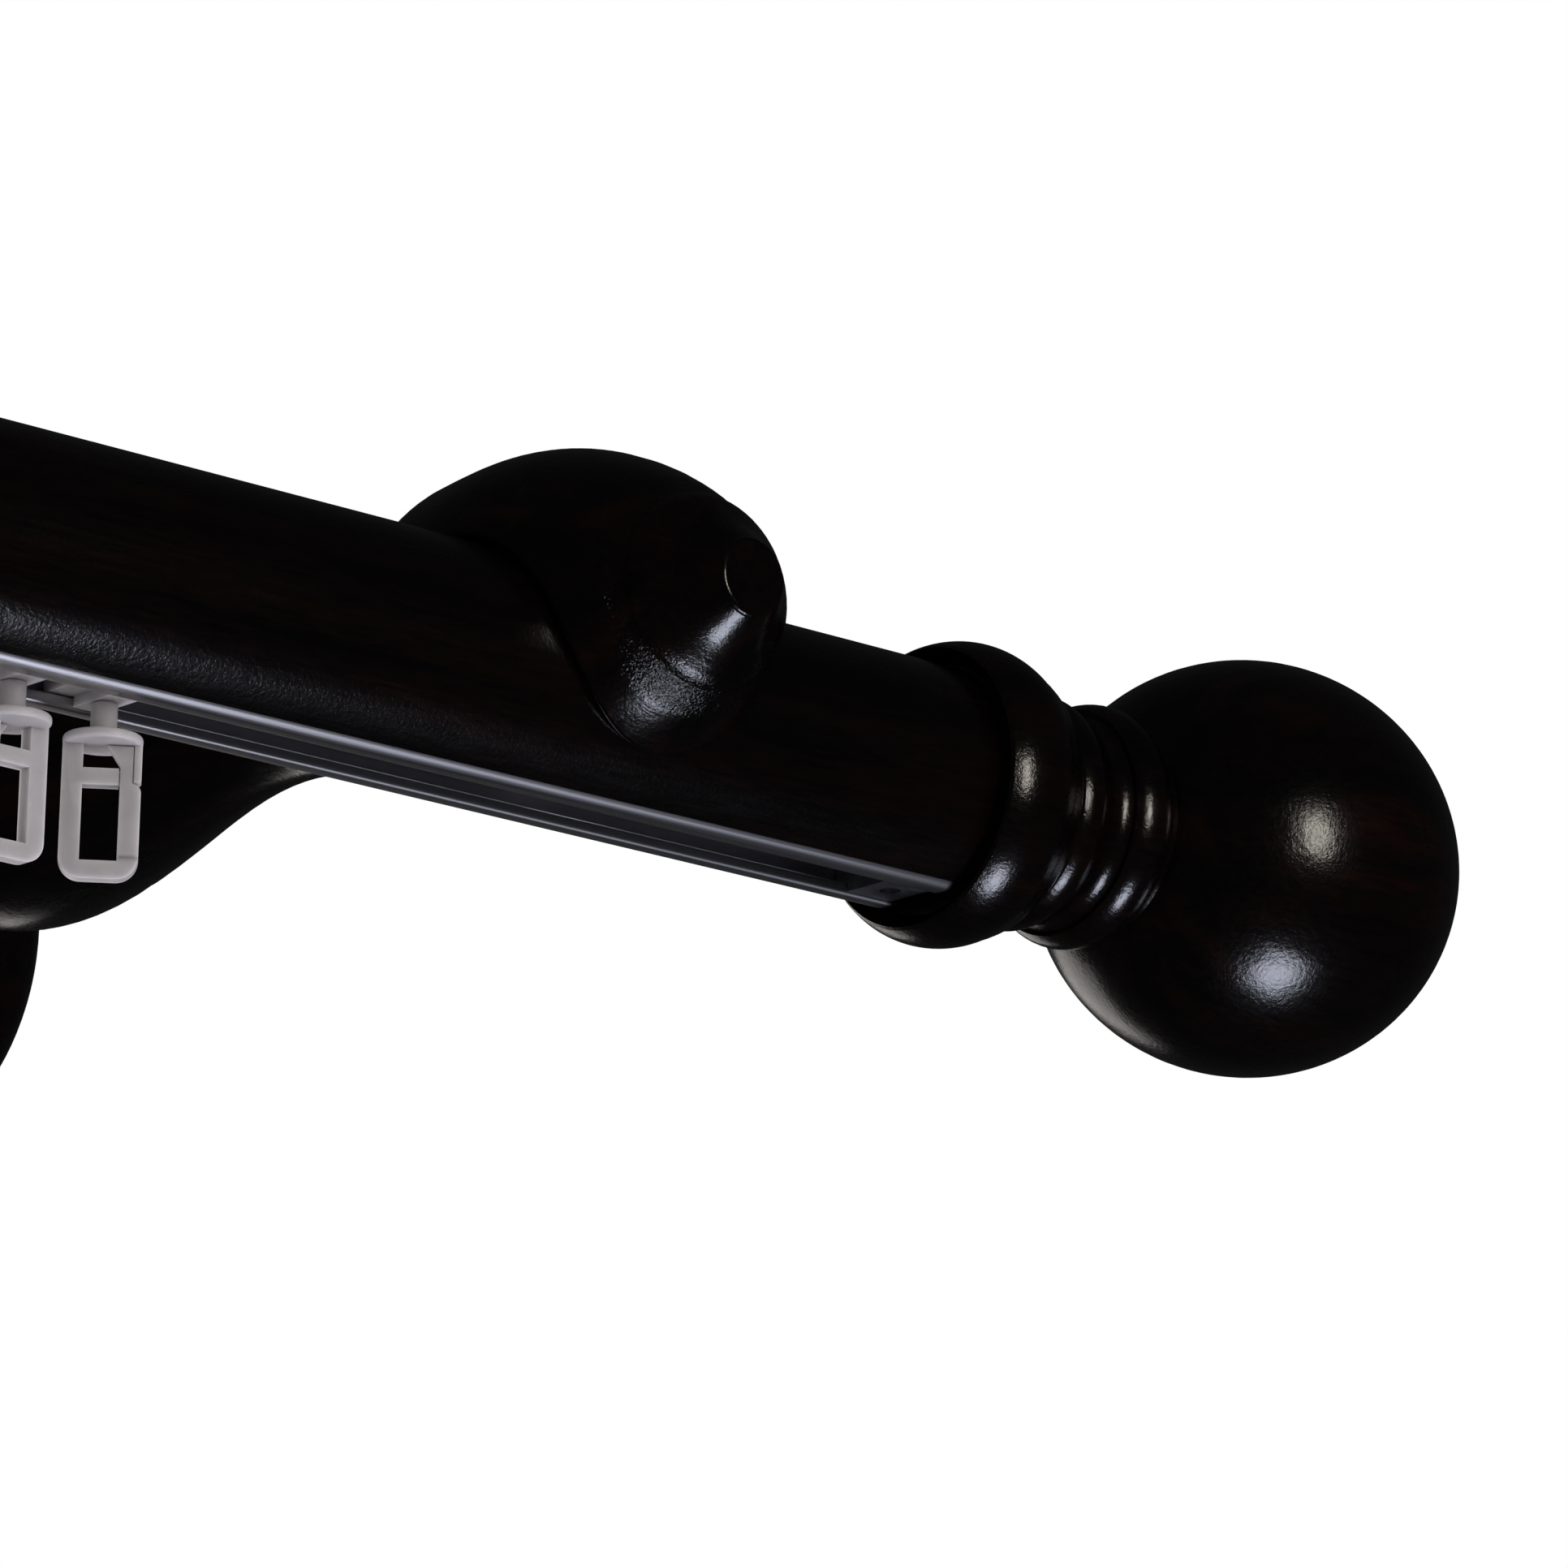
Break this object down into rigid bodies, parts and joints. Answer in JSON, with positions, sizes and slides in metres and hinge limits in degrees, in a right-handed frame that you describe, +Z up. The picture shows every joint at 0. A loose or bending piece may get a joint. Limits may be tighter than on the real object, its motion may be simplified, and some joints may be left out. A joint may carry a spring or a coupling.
{
  "type": "curtain rod with brackets",
  "caption": "Dark turned-wood curtain rod with ball finials, carried by turned wall brackets, a gliding track let into its underside and swivelling plastic hooks.",
  "frame": {"origin": "midway between the two wall plates, on their backs, at the height of the bracket axes", "axes": "+X along the rod, +Y into the wall, +Z up; the rod hangs in the room at -Y"},
  "size_m": [1.3842, 0.2309, 0.096],
  "materials": {
    "wood": "dark wenge stain under gloss lacquer",
    "aluminium": "satin extruded",
    "screw_steel": "zinc plated",
    "plate_steel": "zinc plated, pressed",
    "end_stop_zinc": "black passivated die casting",
    "brass": "turned",
    "glider_plastic": "milky translucent moulded plastic"
  },
  "bodies": {
    "root": {"rod": "wood", "track_rail": "aluminium", "rail_screws": "screw_steel", "rod_fixing_screws": "screw_steel", "end_stop_screws": "screw_steel", "end_stop_left": "end_stop_zinc", "finial_left": "wood", "finial_screw_left": "screw_steel", "bracket_arm_left": "wood", "arm_insert_left": "brass", "wall_stud_left": "screw_steel", "wall_plate_left": "plate_steel", "rosette_left": "wood", "end_stop_right": "end_stop_zinc", "finial_right": "wood", "finial_screw_right": "screw_steel", "bracket_arm_right": "wood", "arm_insert_right": "brass", "wall_stud_right": "screw_steel", "wall_plate_right": "plate_steel", "rosette_right": "wood"},
    "glider_01": {"glider_01": "glider_plastic"},
    "hook_01": {"hook_01": "glider_plastic"},
    "hook_latch_01": {"hook_latch_01": "glider_plastic"},
    "glider_02": {"glider_02": "glider_plastic"},
    "hook_02": {"hook_02": "glider_plastic"},
    "hook_latch_02": {"hook_latch_02": "glider_plastic"},
    "glider_03": {"glider_03": "glider_plastic"},
    "hook_03": {"hook_03": "glider_plastic"},
    "hook_latch_03": {"hook_latch_03": "glider_plastic"},
    "glider_04": {"glider_04": "glider_plastic"},
    "hook_04": {"hook_04": "glider_plastic"},
    "hook_latch_04": {"hook_latch_04": "glider_plastic"},
    "glider_05": {"glider_05": "glider_plastic"},
    "hook_05": {"hook_05": "glider_plastic"},
    "hook_latch_05": {"hook_latch_05": "glider_plastic"},
    "glider_06": {"glider_06": "glider_plastic"},
    "hook_06": {"hook_06": "glider_plastic"},
    "hook_latch_06": {"hook_latch_06": "glider_plastic"},
    "glider_07": {"glider_07": "glider_plastic"},
    "hook_07": {"hook_07": "glider_plastic"},
    "hook_latch_07": {"hook_latch_07": "glider_plastic"},
    "glider_08": {"glider_08": "glider_plastic"},
    "hook_08": {"hook_08": "glider_plastic"},
    "hook_latch_08": {"hook_latch_08": "glider_plastic"}
  },
  "joints": [
    {"name": "glider_01_slide", "type": "slide", "parent": "root", "child": "glider_01", "axis": [1, 0, 0], "range_m": [-0.001, 0.1249]},
    {"name": "hook_01_swivel", "type": "hinge", "parent": "glider_01", "child": "hook_01", "pos_m": [0.4585, -0.1945, -0.0306], "axis": [0, 0, 1], "continuous": true},
    {"name": "hook_01_latch", "type": "hinge", "parent": "hook_01", "child": "hook_latch_01", "pos_m": [0.46155, -0.19672, -0.0459], "axis": [0.809, -0.5878, 0], "range_deg": [0, 20], "stiffness_Nm_per_rad": 0.004, "springref_deg": -5.73},
    {"name": "glider_02_slide", "type": "slide", "parent": "root", "child": "glider_02", "axis": [1, 0, 0], "range_m": [-0.1305, 0.001]},
    {"name": "hook_02_swivel", "type": "hinge", "parent": "glider_02", "child": "hook_02", "pos_m": [0.444, -0.1945, -0.0306], "axis": [0, 0, 1], "continuous": true},
    {"name": "hook_02_latch", "type": "hinge", "parent": "hook_02", "child": "hook_latch_02", "pos_m": [0.44022, -0.1945, -0.0459], "axis": [-1, 0, 0], "range_deg": [0, 20], "stiffness_Nm_per_rad": 0.004, "springref_deg": -5.73},
    {"name": "glider_03_slide", "type": "slide", "parent": "root", "child": "glider_03", "axis": [1, 0, 0], "range_m": [-0.1365, 0.1305]},
    {"name": "hook_03_swivel", "type": "hinge", "parent": "glider_03", "child": "hook_03", "pos_m": [0.3, -0.1945, -0.0306], "axis": [0, 0, 1], "continuous": true},
    {"name": "hook_03_latch", "type": "hinge", "parent": "hook_03", "child": "hook_latch_03", "pos_m": [0.30378, -0.1945, -0.0459], "axis": [1, 0, 0], "range_deg": [0, 20], "stiffness_Nm_per_rad": 0.004, "springref_deg": -5.73},
    {"name": "glider_04_slide", "type": "slide", "parent": "root", "child": "glider_04", "axis": [1, 0, 0], "range_m": [-0.1365, 0.1365]},
    {"name": "hook_04_swivel", "type": "hinge", "parent": "glider_04", "child": "hook_04", "pos_m": [0.15, -0.1945, -0.0306], "axis": [0, 0, 1], "continuous": true},
    {"name": "hook_04_latch", "type": "hinge", "parent": "hook_04", "child": "hook_latch_04", "pos_m": [0.14622, -0.1945, -0.0459], "axis": [-1, 0, 0], "range_deg": [0, 20], "stiffness_Nm_per_rad": 0.004, "springref_deg": -5.73},
    {"name": "glider_05_slide", "type": "slide", "parent": "root", "child": "glider_05", "axis": [1, 0, 0], "range_m": [-0.1365, 0.1365]},
    {"name": "hook_05_swivel", "type": "hinge", "parent": "glider_05", "child": "hook_05", "pos_m": [0, -0.1945, -0.0306], "axis": [0, 0, 1], "continuous": true},
    {"name": "hook_05_latch", "type": "hinge", "parent": "hook_05", "child": "hook_latch_05", "pos_m": [0.00378, -0.1945, -0.0459], "axis": [1, 0, 0], "range_deg": [0, 20], "stiffness_Nm_per_rad": 0.004, "springref_deg": -5.73},
    {"name": "glider_06_slide", "type": "slide", "parent": "root", "child": "glider_06", "axis": [1, 0, 0], "range_m": [-0.1365, 0.1365]},
    {"name": "hook_06_swivel", "type": "hinge", "parent": "glider_06", "child": "hook_06", "pos_m": [-0.15, -0.1945, -0.0306], "axis": [0, 0, 1], "continuous": true},
    {"name": "hook_06_latch", "type": "hinge", "parent": "hook_06", "child": "hook_latch_06", "pos_m": [-0.15377, -0.1945, -0.0459], "axis": [-1, 0, 0], "range_deg": [0, 20], "stiffness_Nm_per_rad": 0.004, "springref_deg": -5.73},
    {"name": "glider_07_slide", "type": "slide", "parent": "root", "child": "glider_07", "axis": [1, 0, 0], "range_m": [-0.145, 0.1365]},
    {"name": "hook_07_swivel", "type": "hinge", "parent": "glider_07", "child": "hook_07", "pos_m": [-0.3, -0.1945, -0.0306], "axis": [0, 0, 1], "continuous": true},
    {"name": "hook_07_latch", "type": "hinge", "parent": "hook_07", "child": "hook_latch_07", "pos_m": [-0.29623, -0.1945, -0.0459], "axis": [1, 0, 0], "range_deg": [0, 20], "stiffness_Nm_per_rad": 0.004, "springref_deg": -5.73},
    {"name": "glider_08_slide", "type": "slide", "parent": "root", "child": "glider_08", "axis": [1, 0, 0], "range_m": [-0.1249, 0.145]},
    {"name": "hook_08_swivel", "type": "hinge", "parent": "glider_08", "child": "hook_08", "pos_m": [-0.4585, -0.1945, -0.0306], "axis": [0, 0, 1], "continuous": true},
    {"name": "hook_08_latch", "type": "hinge", "parent": "hook_08", "child": "hook_latch_08", "pos_m": [-0.46227, -0.1945, -0.0459], "axis": [-1, 0, 0], "range_deg": [0, 20], "stiffness_Nm_per_rad": 0.004, "springref_deg": -5.73}
  ]
}
